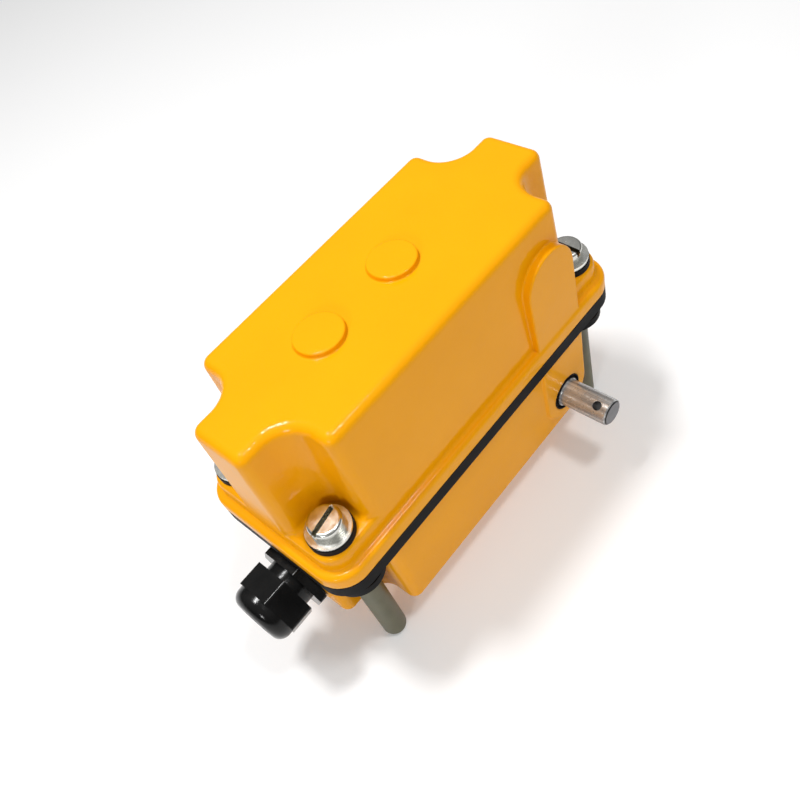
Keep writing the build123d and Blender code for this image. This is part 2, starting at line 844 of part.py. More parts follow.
# Adjusting pinions, each in mesh with one cam, with a screwdriver slot at the rear plate
pinion_points = [
    (
        pinion_distance * math.cos(math.radians(angle)),
        cam_height + pinion_distance * math.sin(math.radians(angle)),
    )
    for angle in pinion_angles
]
for number in range(cam_count):
    pinion_point = pinion_points[number]
    pinion_back = cam_positions[number] - disc_face / 2 - rim_face
    half_tooth = 180 / pinion_teeth
    with BuildPart() as adjusting_pinion:
        extrude(
            toothed_outline(
                Plane.YZ.offset(pinion_back - near),
                pinion_point,
                pinion_teeth,
                pinion_radius,
                gear_addendum,
                dedendum,
                gear_backlash,
                pinion_angles[number] + 180 + half_tooth,
            ),
            amount=rim_face + near,
        )
        with BuildSketch(Plane.YZ.offset(rear_back - near)):
            with Locations(pinion_point):
                Circle(pinion_shaft_radius)
        extrude(amount=plate_front - rear_back + 2 * near)
        with BuildSketch(Plane.YZ.offset(rear_back - near)):
            with Locations(pinion_point):
                Circle(pinion_head_radius)
        extrude(amount=-pinion_head)
        with BuildSketch(Plane.YZ.offset(rear_back - near - pinion_head)):
            with Locations(pinion_point):
                Rectangle(pinion_slot, 2 * pinion_head_radius)
        extrude(amount=pinion_head / 2, mode=Mode.SUBTRACT)
        with BuildSketch(Plane.YZ.offset(rear_face + near)):
            with Locations(pinion_point):
                Circle(pinion_collar_radius)
        extrude(amount=pinion_collar)
    adjusting_pinion.part.label = f"adjusting_pinion_{number + 1}"
    export_step(adjusting_pinion.part, f"parts/adjusting_pinion_{number + 1}.step")

# Steel frame: two bent plates on the casing's foot pads
for plate_name, face, way, foot_middle in (
    ("front_frame_plate", plate_front, -1, foot_middles[0]),
    ("rear_frame_plate", rear_back, 1, foot_middles[1]),
):
    with BuildPart() as frame_plate:
        with BuildSketch(Plane.XZ):
            with BuildLine():
                Polyline(
                    (face, foot_level),
                    (face, plate_top),
                    (face + way * plate_thickness, plate_top),
                    (face + way * plate_thickness, foot_level + plate_thickness),
                    (face + way * foot_length, foot_level + plate_thickness),
                    (face + way * foot_length, foot_level),
                    close=True,
                )
            make_face()
        extrude(amount=plate_width / 2, both=True)
        inner_corner = (face + way * plate_thickness, 0, foot_level + plate_thickness)
        inner_bend = frame_plate.edges().filter_by(Axis.Y).sort_by_distance(inner_corner)[0]
        fillet(inner_bend, plate_thickness / 2)
        outer_bend = frame_plate.edges().filter_by(Axis.Y).sort_by_distance((face, 0, foot_level))[0]
        fillet(outer_bend, 1.5 * plate_thickness)
        tops = frame_plate.edges().filter_by(Axis.X).group_by(Axis.Z)[-1]
        fillet(tops, 2 * plate_thickness)
        with BuildSketch(Plane.YZ.offset(face + way * plate_thickness)):
            with Locations(cam_axis):
                Circle(cam_bush_radius)
            with Locations(*pinion_points):
                Circle(pinion_shaft_radius + running)
            with Locations(*clamp_points):
                Circle(clamp_screw_radius)
        extrude(amount=-way * plate_thickness, mode=Mode.SUBTRACT)
        with BuildSketch(Plane.XY.offset(foot_level)):
            with Locations(*[(foot_middle, y * frame_screw_spacing / 2) for y in (-1, 1)]):
                Circle(frame_screw_radius + near)
        extrude(amount=plate_thickness, mode=Mode.SUBTRACT)
    frame_plate.part.label = plate_name
    export_step(frame_plate.part, f"parts/{plate_name}.step")

with BuildPart() as frame_screws:
    for point in foot_points:
        with BuildSketch(Plane.XY.offset(foot_level + plate_thickness)):
            with Locations(point):
                Circle(frame_head_radius)
        extrude(amount=frame_head)
        with BuildSketch(Plane.XY.offset(foot_level + plate_thickness)):
            with Locations(point):
                Circle(frame_screw_radius)
        extrude(amount=-(foot_level + plate_thickness - frame_screw_tip))
        with BuildSketch(Plane.XY.offset(foot_level + plate_thickness + frame_head)):
            with Locations(point):
                Rectangle(2.5 * frame_head_radius, frame_slot)
        extrude(amount=-frame_slot, mode=Mode.SUBTRACT)
frame_screws.part.label = "frame_screws"
export_step(frame_screws.part, "parts/frame_screws.step")

with BuildPart() as camshaft_bushes:
    for outside, inside, way in ((plate_front, plate_face, 1), (rear_back, rear_face, -1)):
        with BuildSketch(Plane.YZ.offset(inside)):
            with Locations(cam_axis):
                Circle(cam_bush_radius)
        extrude(amount=outside - inside)
        with BuildSketch(Plane.YZ.offset(outside)):
            with Locations(cam_axis):
                Circle(cam_bush_flange_radius)
        extrude(amount=way * bush_flange)
        with BuildSketch(Plane.YZ.offset(inside)):
            with Locations(cam_axis):
                Circle(camshaft_radius + running)
        extrude(amount=outside - inside + way * bush_flange, mode=Mode.SUBTRACT)
camshaft_bushes.part.label = "camshaft_bushes"
export_step(camshaft_bushes.part, "parts/camshaft_bushes.step")

# Snap switches above the cams, each with its hinged roller lever and plunger
ear_inner = lever_width / 2 + near
ear_outer = ear_inner + ear_thickness
plunger_y = hinge_offset + plunger_offset
plunger_tip = hinge_height - lever_thickness
for number in range(cam_count):
    switch_x = cam_positions[number]
    back = switch_x - switch_thickness / 2
    with BuildPart() as microswitch_body:
        with BuildSketch(Plane.YZ.offset(back)):
            with Locations((0, switch_base + switch_height / 2)):
                RectangleRounded(switch_length, switch_height, switch_corner)
            with Locations(*clamp_points):
                Circle(clamp_screw_radius + running, mode=Mode.SUBTRACT)
        extrude(amount=switch_thickness)
        for ear in (switch_x - ear_outer, switch_x + ear_inner):
            with BuildSketch(Plane.YZ.offset(ear)):
                with Locations((hinge_offset, (switch_base + overlap + hinge_height) / 2)):
                    Rectangle(2 * ear_radius, switch_base + overlap - hinge_height)
                with Locations((hinge_offset, hinge_height)):
                    Circle(ear_radius)
                    Circle(hinge_pin_radius, mode=Mode.SUBTRACT)
            extrude(amount=ear_outer - ear_inner)
        with BuildSketch(Plane.XY.offset(switch_base)):
            with Locations((switch_x, plunger_y)):
                Circle(plunger_radius + running)
        extrude(amount=plunger_length, mode=Mode.SUBTRACT)
    microswitch_body.part.label = f"microswitch_body_{number + 1}"
    export_step(microswitch_body.part, f"parts/microswitch_body_{number + 1}.step")

    lever_plane = Plane(
        origin=(back, hinge_offset, hinge_height),
        x_dir=(0, math.cos(lean), -math.sin(lean)),
        z_dir=(1, 0, 0),
    )
    lever_left = lever_plane.offset(switch_thickness / 2 - lever_width / 2)
    with BuildPart() as switch_lever:
        with BuildSketch(lever_left):
            with Locations(((lever_reach - roller_radius - near) / 2, 0)):
                Rectangle(lever_reach - roller_radius - near, lever_thickness)
            Circle(lever_eye_radius)
            Circle(hinge_pin_radius + running, mode=Mode.SUBTRACT)
        extrude(amount=lever_width)
        fork_start = lever_reach - roller_radius - 1.5
        for side in (lever_left, lever_left.offset(lever_width - lever_thickness)):
            with BuildSketch(side):
                with BuildLine():
                    Polyline(
                        (fork_start, lever_thickness / 2),
                        (fork_start, -lever_thickness / 2),
                        (lever_reach - 1, -roller_drop - 1),
                        (lever_reach + 1, -roller_drop - 1),
                        (lever_reach + 1, -roller_drop + 1),
                        (lever_reach - 1, lever_thickness / 2),
                        close=True,
                    )
                make_face()
            extrude(amount=lever_thickness)
        with BuildSketch(lever_left):
            with Locations((lever_reach, -roller_drop)):
                Circle(hinge_pin_radius)
        extrude(amount=lever_width)
    switch_lever.part.label = f"switch_lever_{number + 1}"
    export_step(switch_lever.part, f"parts/switch_lever_{number + 1}.step")

    with BuildPart() as switch_roller:
        with BuildSketch(lever_plane.offset(switch_thickness / 2 - roller_width / 2)):
            with Locations((lever_reach, -roller_drop)):
                Circle(roller_radius)
                Circle(hinge_pin_radius + running, mode=Mode.SUBTRACT)
        extrude(amount=roller_width)
    switch_roller.part.label = f"switch_roller_{number + 1}"
    export_step(switch_roller.part, f"parts/switch_roller_{number + 1}.step")

    with BuildPart() as switch_plunger:
        with BuildSketch(Plane.XY.offset(plunger_tip)):
            with Locations((switch_x, plunger_y)):
                Circle(plunger_radius)
        extrude(amount=switch_base + plunger_length - plunger_travel - near - plunger_tip)
        fillet(switch_plunger.faces().sort_by(Axis.Z)[0].edges(), 0.9 * plunger_radius)
    switch_plunger.part.label = f"switch_plunger_{number + 1}"
    export_step(switch_plunger.part, f"parts/switch_plunger_{number + 1}.step")

with BuildPart() as lever_pins:
    for switch_x in cam_positions:
        with BuildSketch(Plane.YZ.offset(switch_x - ear_outer)):
            with Locations((hinge_offset, hinge_height)):
                Circle(hinge_pin_radius)
        extrude(amount=2 * ear_outer)
lever_pins.part.label = "lever_pins"
export_step(lever_pins.part, "parts/lever_pins.step")

with BuildPart() as switch_terminals:
    for switch_x in cam_positions:
        with BuildSketch(Plane.XY.offset(switch_base + switch_height)):
            with GridLocations(0, switch_length / 3, 1, 3):
                with Locations((switch_x, 0)):
                    Rectangle(terminal_thickness, terminal_width)
        extrude(amount=terminal_rise)
switch_terminals.part.label = "switch_terminals"
export_step(switch_terminals.part, "parts/switch_terminals.step")

with BuildPart() as switch_insulators:
    for switch_x in cam_positions[1:]:
        with BuildSketch(Plane.YZ.offset(switch_x + switch_thickness / 2)):
            with Locations((0, switch_base + switch_height / 2)):
                Rectangle(switch_length - 2 * insulator_inset, switch_height - 2 * insulator_inset)
            with Locations(*clamp_points):
                Circle(clamp_screw_radius + running, mode=Mode.SUBTRACT)
        extrude(amount=cam_pitch - switch_thickness)
switch_insulators.part.label = "switch_insulators"
export_step(switch_insulators.part, "parts/switch_insulators.step")

stack_ends = (
    (cam_positions[0] + switch_thickness / 2, plate_face),
    (rear_face, cam_positions[-1] - switch_thickness / 2),
)
with BuildPart() as switch_spacers:
    for low, high in stack_ends:
        with BuildSketch(Plane.YZ.offset(low)):
            with Locations(*clamp_points):
                Circle(2 * clamp_screw_radius)
                Circle(clamp_screw_radius + running, mode=Mode.SUBTRACT)
        extrude(amount=high - low)
switch_spacers.part.label = "switch_spacers"
export_step(switch_spacers.part, "parts/switch_spacers.step")

with BuildPart() as switch_clamp_screws:
    with BuildSketch(Plane.YZ.offset(rear_back)):
        with Locations(*clamp_points):
            Circle(clamp_screw_radius)
    extrude(amount=plate_front - rear_back)
    with BuildSketch(Plane.YZ.offset(rear_back)):
        with Locations(*clamp_points):
            Circle(clamp_head_radius)
    extrude(amount=-clamp_head)
    with BuildSketch(Plane.YZ.offset(rear_back - clamp_head)):
        with Locations(*clamp_points):
            Rectangle(2.5 * clamp_head_radius, clamp_slot)
    extrude(amount=1.4 * clamp_slot, mode=Mode.SUBTRACT)
switch_clamp_screws.part.label = "switch_clamp_screws"
export_step(switch_clamp_screws.part, "parts/switch_clamp_screws.step")

with BuildPart() as earth_screw:
    with BuildSketch(Plane.XY.offset(foot_level)):
        with Locations(earth_point):
            Circle(frame_head_radius)
    extrude(amount=frame_head)
    with BuildSketch(Plane.XY.offset(foot_level)):
        with Locations(earth_point):
            Circle(frame_screw_radius)
    extrude(amount=-(foot_level - frame_screw_tip))
earth_screw.part.label = "earth_screw"
export_step(earth_screw.part, "parts/earth_screw.step")

# Cable gland: O-ring, hexagon body screwed into the end wall, rubber seal and dome nut
flange_start = gland_seat + o_ring_thickness
flange_end = flange_start + gland_flange
nut_start = flange_end + gland_gap
hex_end = nut_start + gland_nut_hex
dome_end = hex_end + gland_dome
thread_end = hex_end - nut_thread_short
inner_wall = end_wall_x - wall

with BuildPart() as gland_o_ring:
    with BuildSketch(gland_plane(-gland_seat)):
        Circle(o_ring_radius)
        Circle(gland_thread_radius + running, mode=Mode.SUBTRACT)
    extrude(amount=o_ring_thickness)
gland_o_ring.part.label = "gland_o_ring"
export_step(gland_o_ring.part, "parts/gland_o_ring.step")

with BuildPart() as gland_body:
    with BuildSketch(gland_plane(-flange_start)):
        RegularPolygon(gland_body_flats / 2, 6, major_radius=False)
    extrude(amount=gland_flange)
    fillet(gland_body.edges().filter_by(Axis.X), gland_corner)
    with BuildSketch(gland_plane(-flange_start)):
        Circle(gland_thread_radius)
    extrude(amount=-(flange_start - inner_wall + thread_inside))
    with BuildSketch(gland_plane(-flange_end)):
        Circle(nut_thread_radius)
    extrude(amount=thread_end - flange_end)
    with BuildSketch(gland_plane(-thread_end)):
        Circle(gland_bore)
    extrude(amount=-(thread_end - inner_wall + thread_inside), mode=Mode.SUBTRACT)
gland_body.part.label = "gland_body"
export_step(gland_body.part, "parts/gland_body.step")

with BuildPart() as gland_seal:
    with BuildSketch(gland_plane(-thread_end)):
        Circle(gland_seal_radius)
    extrude(amount=dome_end - thread_end - gland_lip)
    with BuildSketch(gland_plane(-thread_end)):
        Circle(cable_radius)
    extrude(amount=dome_end - thread_end, mode=Mode.SUBTRACT)
gland_seal.part.label = "gland_seal"
export_step(gland_seal.part, "parts/gland_seal.step")

with BuildPart() as gland_nut:
    with BuildSketch(gland_plane(-nut_start)):
        RegularPolygon(gland_nut_flats / 2, 6, major_radius=False, rotation=gland_nut_turn)
    extrude(amount=gland_nut_hex)
    fillet(gland_nut.edges().filter_by(Axis.X), gland_corner)
    with BuildSketch(gland_plane(-hex_end)):
        Circle(gland_dome_radius)
    extrude(amount=gland_dome)
    fillet(gland_nut.faces().sort_by(Axis.X)[0].edges(), 0.75 * gland_dome)
    with BuildSketch(gland_plane(-nut_start)):
        Circle(nut_thread_radius)
    extrude(amount=dome_end - nut_start - gland_lip, mode=Mode.SUBTRACT)
    with BuildSketch(gland_plane(-nut_start)):
        Circle(gland_mouth)
    extrude(amount=dome_end - nut_start, mode=Mode.SUBTRACT)
gland_nut.part.label = "gland_nut"
export_step(gland_nut.part, "parts/gland_nut.step")
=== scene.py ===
import json
import math

import bpy
import numpy as np
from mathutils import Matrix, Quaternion, Vector


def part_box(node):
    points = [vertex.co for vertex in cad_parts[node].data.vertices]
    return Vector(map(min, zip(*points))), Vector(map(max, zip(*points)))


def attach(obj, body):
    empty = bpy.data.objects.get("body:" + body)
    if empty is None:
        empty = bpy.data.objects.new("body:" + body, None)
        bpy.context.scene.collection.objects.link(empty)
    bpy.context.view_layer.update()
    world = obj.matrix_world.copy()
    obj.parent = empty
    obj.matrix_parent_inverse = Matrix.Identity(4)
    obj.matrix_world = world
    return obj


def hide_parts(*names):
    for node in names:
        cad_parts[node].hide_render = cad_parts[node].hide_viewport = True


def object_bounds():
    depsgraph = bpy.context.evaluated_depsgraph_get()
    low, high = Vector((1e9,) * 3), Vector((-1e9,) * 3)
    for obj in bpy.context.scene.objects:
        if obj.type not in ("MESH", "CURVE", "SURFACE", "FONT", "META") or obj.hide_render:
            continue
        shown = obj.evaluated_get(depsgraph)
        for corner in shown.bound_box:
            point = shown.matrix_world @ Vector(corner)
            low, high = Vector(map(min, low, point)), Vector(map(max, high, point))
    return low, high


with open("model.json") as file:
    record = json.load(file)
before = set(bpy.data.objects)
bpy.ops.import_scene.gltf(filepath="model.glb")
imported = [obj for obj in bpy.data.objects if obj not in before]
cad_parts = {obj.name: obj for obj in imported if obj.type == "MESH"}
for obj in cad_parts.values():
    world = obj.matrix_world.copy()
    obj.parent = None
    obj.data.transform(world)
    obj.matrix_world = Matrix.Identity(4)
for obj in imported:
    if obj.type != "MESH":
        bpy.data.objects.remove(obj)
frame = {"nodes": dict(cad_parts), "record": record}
cad_low, cad_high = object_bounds()
nodes = frame["nodes"]

MM = 0.001

# How the castings are meshed; the cell, the slope's reach and the longest move are in millimetres

casting_cell = 0.6
kept_share = 0.34
flat_face_weight = 70
slope_reach = 0.05
least_steepness = 0.3
longest_move = 0.3

# Sizes of the castings, in millimetres; the rest of them come from the CAD nodes' boxes

draft = math.tan(math.radians(1.8))
overlap = 1.0
flange_corner = 12.7
ledge = 3.5
ledge_rise = 7.1
pad_rise = 8.3
wall = 4.0
roof = 4.5
casing_floor = 4.0
cover_pocket = 10.3
casing_pocket = 8.4
lug_depth = 8.9
arch_radius = 13.6
arch_inset = 0.95
arch_rise = 34.1
arch_gap = 0.3
boss_radius = 9.6
boss_rise = 2.1
boss_root = 2.0
boss_draft = 0.08
boss_places = (-29.2, 8.9)
screw_head_radius = 6.5
screw_hole_radius = 4.5
gasket_lip = 2.0
gland_pad_radius = 16.0
gland_bore = 11.1
gland_bore_depth = 10.0
housing_wall = 3.0
foot_pad_radius = 5.5
foot_pad_height = 6.0
foot_hole_radius = 2.0
foot_hole_end = 1.5
frame_screw_head = 3.8

# Rounds on the castings' outer edges

upright_round = 5.6
flange_round = 2.2
pad_round = 2.2
top_round = 3.8
arch_round = 0.6
boss_round = 0.45
rim_round = 0.5
cavity_round = 3.0
base_round = 2.2
lug_round = 1.4
gland_pad_round = 0.8

# Concave rounds where two forms of a casting meet

pad_fillet = 2.6
ledge_fillet = 1.3
arch_fillet = 0.5
boss_fillet = 0.5
lug_fillet = 2.2
gland_pad_fillet = 1.2

# The drive shaft, in millimetres: its sawn end along its own Y, and the radius within which only
# the end faces and the cross hole have a surface

sawn_face = -59.15
sawn_face_edge = -59.1
shaft_core = 5.6

# Painted shade in the cover bolts' slots: how far it reaches out, as a share of the head's radius,
# and the depths in millimetres below the head's top at which it begins and is full

slot_reach = 0.9
slot_shade_begins = 0.3
slot_shade_full = 0.6

# The camera, in pixels of the photograph and millimetres of the sensor

focal_length = 805.61
picture_width = 800
sensor_width = 36.0


def in_mm(node):
    """Lowest and highest corner of a CAD node, in millimetres."""
    low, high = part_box(node)
    return Vector(low) / MM, Vector(high) / MM


gasket_low, gasket_high = in_mm("flange_gasket")
cover_low, cover_high = in_mm("upper_cover")
bolts_high = in_mm("cover_bolts")[1]
seal_low, seal_high = in_mm("shaft_seal")
nut_low, nut_high = in_mm("gland_nut")
ring_high = in_mm("gland_o_ring")[1]
front_low, front_high = in_mm("front_bush")
rear_low, rear_high = in_mm("rear_bush")
screws_low, screws_high = in_mm("frame_screws")
earth_low, earth_high = in_mm("earth_screw")

flange_length = gasket_high.x - gasket_low.x
flange_width = gasket_high.y - gasket_low.y
cover_base = cover_low.z
ledge_level = cover_base + ledge_rise
pad_level = ledge_level + pad_rise
top_level = cover_high.z - boss_rise
casing_height = in_mm("lower_casing")[1].z
lip_level = gasket_low.z
lug_level = casing_height - lug_depth
screw_x = bolts_high.x - screw_head_radius
screw_y = bolts_high.y - screw_head_radius
shaft_x = (seal_low.x + seal_high.x) / 2
shaft_height = (seal_low.z + seal_high.z) / 2
seal_radius = (seal_high.x - seal_low.x) / 2
arch_face = flange_width / 2 - arch_inset
gland_height = (nut_low.z + nut_high.z) / 2
gland_seat = -ring_high.x
front_radius = (front_high.x - front_low.x) / 2
rear_radius = (rear_high.x - rear_low.x) / 2
foot_x = (screws_low.x + screws_high.x) / 2
foot_reach = (screws_high.x - screws_low.x) / 2 - frame_screw_head
foot_y = (screws_high.y - screws_low.y) / 2 - frame_screw_head
earth_x = (earth_low.x + earth_high.x) / 2
earth_y = (earth_low.y + earth_high.y) / 2


def new_group(name, inputs, outputs):
    """An empty shader node group with its named sockets."""
    tree = bpy.data.node_groups.new(name, "ShaderNodeTree")
    for socket, kind, value in inputs:
        made = tree.interface.new_socket(socket, in_out="INPUT", socket_type=kind)
        made.default_value = value
    for socket, kind in outputs:
        tree.interface.new_socket(socket, in_out="OUTPUT", socket_type=kind)
    start = tree.nodes.new("NodeGroupInput")
    end = tree.nodes.new("NodeGroupOutput")
    return tree, start, end


def noise(tree, scale, detail, rough, vector):
    """A noise texture on the given coordinates; its scale is a socket or a number."""
    node = tree.nodes.new("ShaderNodeTexNoise")
    if isinstance(scale, (int, float)):
        node.inputs["Scale"].default_value = scale
    else:
        tree.links.new(scale, node.inputs["Scale"])
    node.inputs["Detail"].default_value = detail
    node.inputs["Roughness"].default_value = rough
    tree.links.new(vector, node.inputs["Vector"])
    return node


def ramp(tree, value, low, high, low_out=0.0, high_out=1.0):
    """Maps a value from one range to another and clamps it."""
    node = tree.nodes.new("ShaderNodeMapRange")
    node.inputs["From Min"].default_value = low
    node.inputs["From Max"].default_value = high
    node.inputs["To Min"].default_value = low_out
    node.inputs["To Max"].default_value = high_out
    tree.links.new(value, node.inputs["Value"])
    return node.outputs["Result"]


def mix_colours(tree, share, first, second):
    """Mixes two colours by a mask; each colour is a socket or a plain value."""
    node = tree.nodes.new("ShaderNodeMix")
    node.data_type = "RGBA"
    tree.links.new(share, node.inputs["Factor"])
    for value, socket in ((first, node.inputs[6]), (second, node.inputs[7])):
        if isinstance(value, tuple):
            socket.default_value = (*value, 1.0)
        else:
            tree.links.new(value, socket)
    return node.outputs[2]


def arithmetic(tree, operation, first, second):
    """One maths node; each input is a socket or a number."""
    node = tree.nodes.new("ShaderNodeMath")
    node.operation = operation
    for value, socket in ((first, node.inputs[0]), (second, node.inputs[1])):
        if isinstance(value, (int, float)):
            socket.default_value = value
        else:
            tree.links.new(value, socket)
    return node.outputs[0]


def build_enamel_skin():
    """Orange peel of sprayed enamel over a casting, and the slight drift of its colour."""
    tree, start, end = new_group(
        "enamel_skin",
        [
            ("Vector", "NodeSocketVector", (0, 0, 0)),
            ("Peel Size", "NodeSocketFloat", 700.0),
            ("Casting Size", "NodeSocketFloat", 90.0),
        ],
        [("Height", "NodeSocketFloat"), ("Tone", "NodeSocketFloat")],
    )
    vector = start.outputs["Vector"]
    wave_height = 2.2
    peel = noise(tree, start.outputs["Peel Size"], 1.5, 0.45, vector)
    wave = noise(tree, start.outputs["Casting Size"], 2.0, 0.5, vector)
    drift = noise(tree, 26.0, 3.0, 0.55, vector)
    waves = arithmetic(tree, "MULTIPLY", wave.outputs["Fac"], wave_height)
    tree.links.new(arithmetic(tree, "ADD", peel.outputs["Fac"], waves), end.inputs["Height"])
    tree.links.new(ramp(tree, drift.outputs["Fac"], 0.3, 0.7), end.inputs["Tone"])
    return tree


def build_fine_grain():
    """Small even grain of moulded or rubbed surfaces, with a wider patchy mask."""
    tree, start, end = new_group(
        "fine_grain",
        [
            ("Vector", "NodeSocketVector", (0, 0, 0)),
            ("Grain Size", "NodeSocketFloat", 1500.0),
            ("Patch Size", "NodeSocketFloat", 120.0),
        ],
        [("Height", "NodeSocketFloat"), ("Patches", "NodeSocketFloat")],
    )
    vector = start.outputs["Vector"]
    grain = noise(tree, start.outputs["Grain Size"], 3.0, 0.6, vector)
    patches = noise(tree, start.outputs["Patch Size"], 4.0, 0.6, vector)
    tree.links.new(grain.outputs["Fac"], end.inputs["Height"])
    tree.links.new(ramp(tree, patches.outputs["Fac"], 0.35, 0.65), end.inputs["Patches"])
    return tree


def build_tool_marks():
    """Fine rings or lines left by turning, drawing or plating, stretched along one axis."""
    tree, start, end = new_group(
        "tool_marks",
        [
            ("Vector", "NodeSocketVector", (0, 0, 0)),
            ("Stretch", "NodeSocketVector", (1, 1, 1)),
            ("Mark Size", "NodeSocketFloat", 900.0),
        ],
        [("Height", "NodeSocketFloat"), ("Wear", "NodeSocketFloat")],
    )
    scaled = tree.nodes.new("ShaderNodeVectorMath")
    scaled.operation = "MULTIPLY"
    tree.links.new(start.outputs["Vector"], scaled.inputs[0])
    tree.links.new(start.outputs["Stretch"], scaled.inputs[1])
    marks = noise(tree, start.outputs["Mark Size"], 2.0, 0.6, scaled.outputs["Vector"])
    wear = noise(tree, 220.0, 4.0, 0.6, start.outputs["Vector"])
    tree.links.new(marks.outputs["Fac"], end.inputs["Height"])
    tree.links.new(ramp(tree, wear.outputs["Fac"], 0.4, 0.7), end.inputs["Wear"])
    return tree


def build_near_axis():
    """Mask of what lies within a radius of an axis and of its mirror images, 0.1 mm soft."""
    tree, start, end = new_group(
        "near_axis",
        [
            ("Vector", "NodeSocketVector", (0, 0, 0)),
            ("Centre", "NodeSocketVector", (0, 0, 0)),
            ("Across", "NodeSocketVector", (1, 1, 0)),
            ("Radius", "NodeSocketFloat", 0.005),
        ],
        [("Mask", "NodeSocketFloat")],
    )
    vector = start.outputs["Vector"]
    for operation, other in (("ABSOLUTE", None), ("SUBTRACT", "Centre"), ("MULTIPLY", "Across")):
        step = tree.nodes.new("ShaderNodeVectorMath")
        step.operation = operation
        tree.links.new(vector, step.inputs[0])
        if other:
            tree.links.new(start.outputs[other], step.inputs[1])
        vector = step.outputs[0]
    distance = tree.nodes.new("ShaderNodeVectorMath")
    distance.operation = "LENGTH"
    tree.links.new(vector, distance.inputs[0])
    inside = arithmetic(tree, "SUBTRACT", start.outputs["Radius"], distance.outputs["Value"])
    tree.links.new(ramp(tree, inside, 0.0, 0.1 * MM), end.inputs["Mask"])
    return tree


enamel_skin = build_enamel_skin()
fine_grain = build_fine_grain()
tool_marks = build_tool_marks()
near_axis = build_near_axis()


def new_material(name):
    """A material with its Principled shader and its piece's own coordinates."""
    material = bpy.data.materials.new(name)
    material.use_nodes = True
    tree = material.node_tree
    shader = tree.nodes["Principled BSDF"]
    coordinates = tree.nodes.new("ShaderNodeTexCoord")
    return material, tree, shader, coordinates.outputs["Object"]


def place_group(tree, group, vector, **values):
    """Puts a shared effect into a material with that material's own values."""
    node = tree.nodes.new("ShaderNodeGroup")
    node.node_tree = group
    tree.links.new(vector, node.inputs["Vector"])
    for name, value in values.items():
        node.inputs[name.replace("_", " ")].default_value = value
    return node


def raise_surface(tree, shader, height, distance, strength=1.0):
    """Bump from a height into the shader's normal, which it returns."""
    bump = tree.nodes.new("ShaderNodeBump")
    bump.inputs["Strength"].default_value = strength
    bump.inputs["Distance"].default_value = distance
    tree.links.new(height, bump.inputs["Height"])
    tree.links.new(bump.outputs["Normal"], shader.inputs["Normal"])
    return bump.outputs["Normal"]


def yellow_enamel():
    """The castings' sprayed enamel: a soft colour under a thin glossy coat."""
    material, tree, shader, vector = new_material("yellow_enamel")
    skin = place_group(tree, enamel_skin, vector)
    darker, lighter = (0.90, 0.368, 0.001), (0.94, 0.39, 0.001)
    colour = mix_colours(tree, skin.outputs["Tone"], darker, lighter)
    tree.links.new(colour, shader.inputs["Base Color"])
    shader.inputs["Roughness"].default_value = 0.36
    shader.inputs["Specular IOR Level"].default_value = 0.02
    shader.inputs["Coat Weight"].default_value = 0.34
    shader.inputs["Coat Roughness"].default_value = 0.07
    normal = raise_surface(tree, shader, skin.outputs["Height"], 0.08 * MM, 0.9)
    tree.links.new(normal, shader.inputs["Coat Normal"])
    return material


def black_rubber():
    """Dull black rubber of the gasket, rings and seals."""
    material, tree, shader, vector = new_material("black_rubber")
    grain = place_group(tree, fine_grain, vector, Grain_Size=1300.0, Patch_Size=90.0)
    darker, lighter = (0.004, 0.004, 0.005), (0.010, 0.010, 0.011)
    colour = mix_colours(tree, grain.outputs["Patches"], darker, lighter)
    tree.links.new(colour, shader.inputs["Base Color"])
    rough = ramp(tree, grain.outputs["Patches"], 0.0, 1.0, 0.45, 0.6)
    tree.links.new(rough, shader.inputs["Roughness"])
    shader.inputs["Specular IOR Level"].default_value = 0.06
    raise_surface(tree, shader, grain.outputs["Height"], 0.04 * MM)
    return material


def paint_slot_shade(tree, vector, colour, head_top):
    """Painted shade: darkens what lies deep under the cover bolts' head tops, which shows in their
    slots.
    """
    middle = (screw_x * MM, screw_y * MM, 0)
    reach = slot_reach * screw_head_radius * MM
    slots = place_group(tree, near_axis, vector, Centre=middle, Radius=reach)
    split = tree.nodes.new("ShaderNodeSeparateXYZ")
    tree.links.new(vector, split.inputs["Vector"])
    full = (head_top - slot_shade_full) * MM
    begins = (head_top - slot_shade_begins) * MM
    deep = ramp(tree, split.outputs["Z"], full, begins, 1.0, 0.0)
    # Painted shade: the deep parts of the slots are coloured a dark grey-brown in place of the
    # shade there
    slot_shade = arithmetic(tree, "MULTIPLY", slots.outputs["Mask"], deep)
    return mix_colours(tree, slot_shade, colour, (0.16, 0.15, 0.11))


def plated_steel(name, low, high, roughness, head_top=None):
    """Plated or turned metal, with painted shade in the cover bolts' slots if their head tops are
    given.
    """
    material, tree, shader, vector = new_material(name)
    marks = place_group(tree, tool_marks, vector)
    colour = mix_colours(tree, marks.outputs["Wear"], low, high)
    if head_top is not None:
        colour = paint_slot_shade(tree, vector, colour, head_top)
    tree.links.new(colour, shader.inputs["Base Color"])
    shader.inputs["Metallic"].default_value = 1.0
    rough = ramp(tree, marks.outputs["Wear"], 0.0, 1.0, roughness, roughness + 0.12)
    tree.links.new(rough, shader.inputs["Roughness"])
    raise_surface(tree, shader, marks.outputs["Height"], 0.03 * MM, 0.6)
    return material


def moulded(name, low, high, roughness, shine=0.35):
    """Moulded plastic between two colours, with a fine grain."""
    material, tree, shader, vector = new_material(name)
    grain = place_group(tree, fine_grain, vector)
    colour = mix_colours(tree, grain.outputs["Patches"], low, high)
    tree.links.new(colour, shader.inputs["Base Color"])
    rough = ramp(tree, grain.outputs["Patches"], 0.0, 1.0, roughness, roughness + 0.08)
    tree.links.new(rough, shader.inputs["Roughness"])
    shader.inputs["Specular IOR Level"].default_value = shine
    raise_surface(tree, shader, grain.outputs["Height"], 0.03 * MM)
    return material


